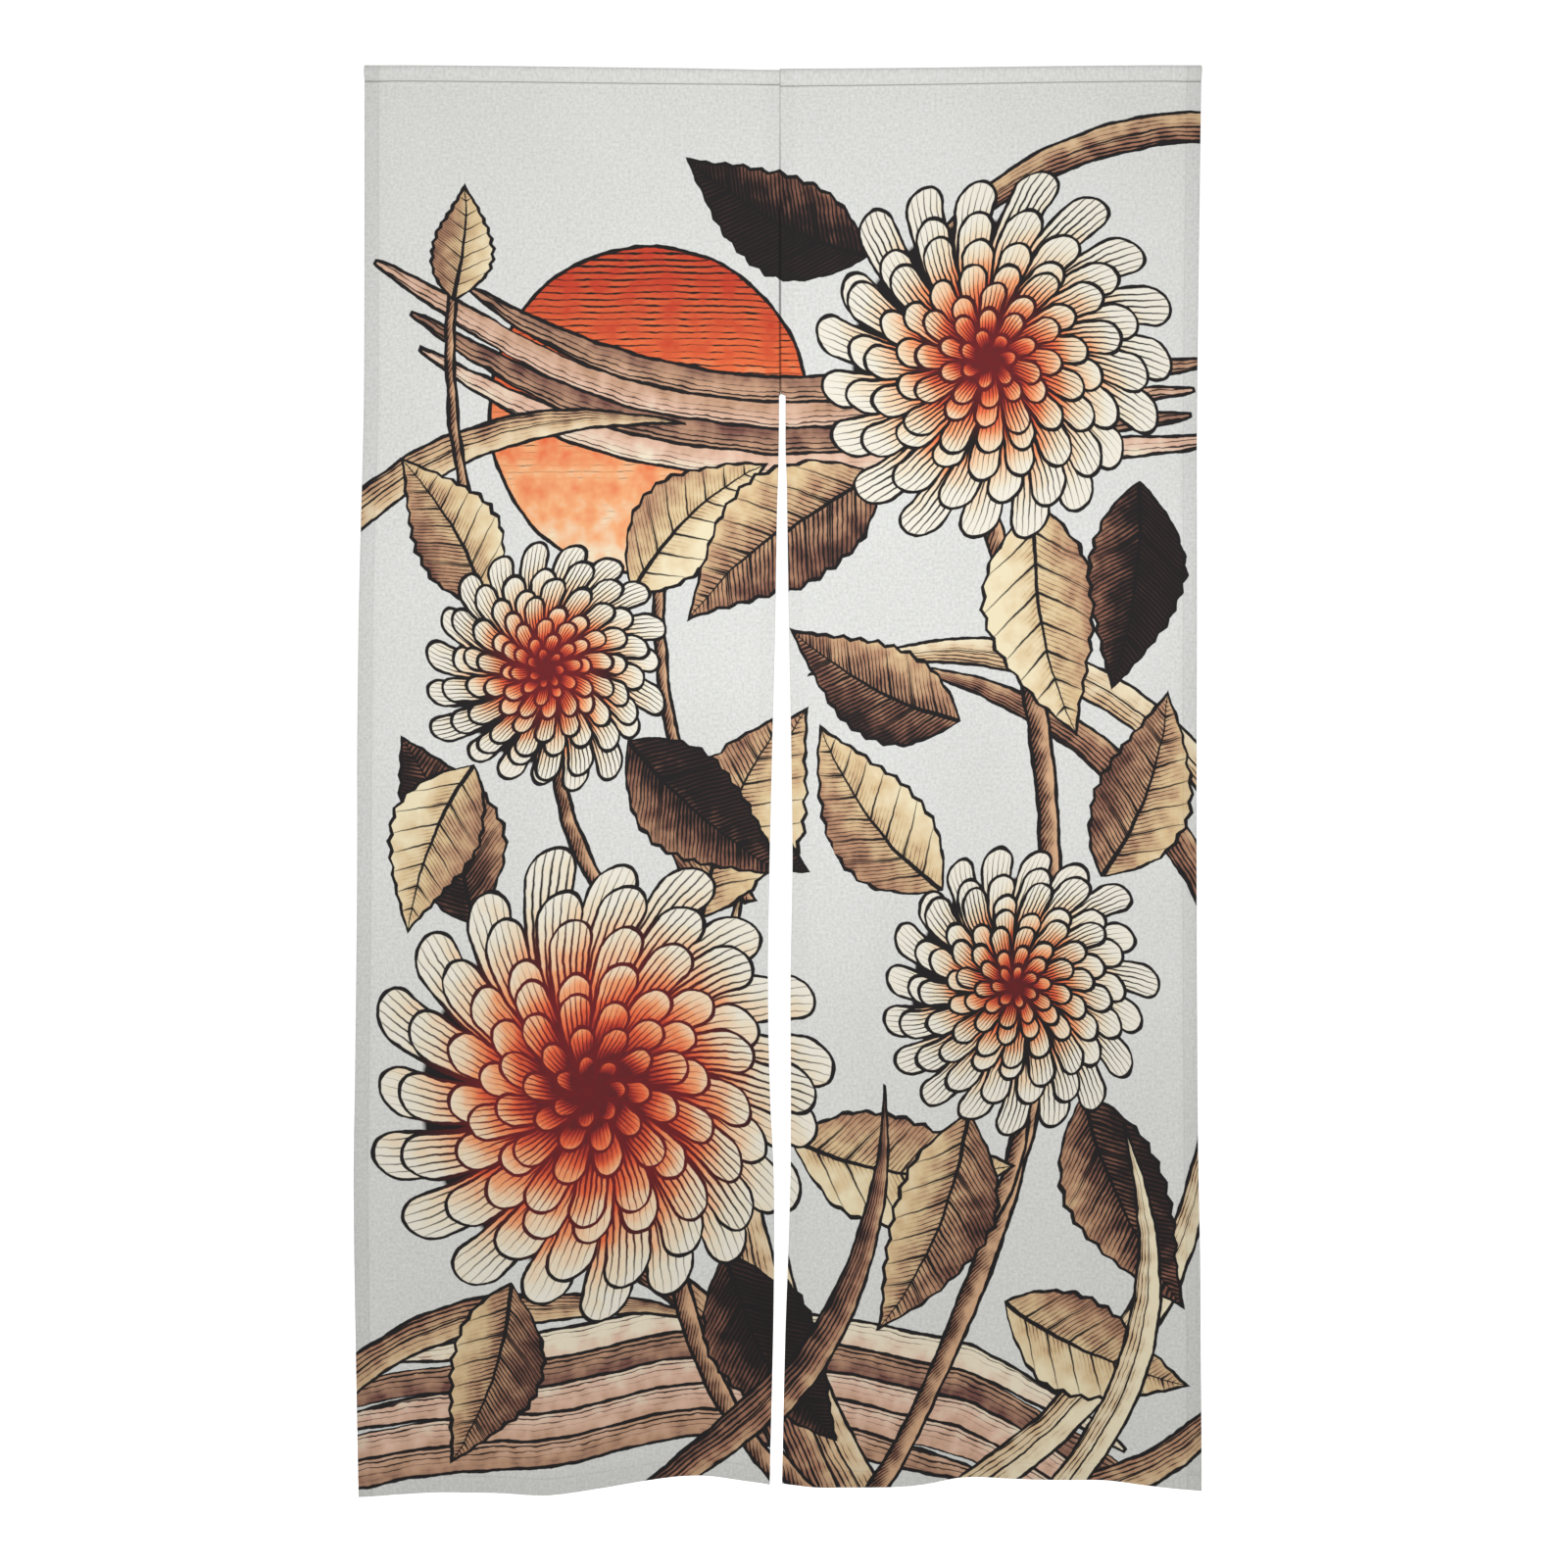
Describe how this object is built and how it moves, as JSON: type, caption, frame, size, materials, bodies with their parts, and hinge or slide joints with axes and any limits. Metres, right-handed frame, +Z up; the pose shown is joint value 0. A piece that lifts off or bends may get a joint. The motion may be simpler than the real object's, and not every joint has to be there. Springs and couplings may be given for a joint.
{
  "type": "noren curtain",
  "caption": "Split doorway curtain: hemmed cloth panels seamed together at the top, hanging in soft folds from a narrow rod sleeve, printed with ink-line flowers.",
  "frame": {"origin": "middle of the rod sleeve's tunnel, half way across the curtain", "axes": "+Z up, +X to the right of someone facing the printed side, which faces -Y"},
  "size_m": [0.8499, 0.0347, 1.4356],
  "materials": {
    "printed_cloth": "matt plain weave, off-white, printed in ink lines, cream, ochre, brown and rust",
    "thread": "matt sewing thread, pale grey"
  },
  "bodies": {
    "root": {"left_panel": "printed_cloth", "right_panel": "printed_cloth", "left_sleeve": "printed_cloth", "right_sleeve": "printed_cloth"}
  },
  "joints": []
}
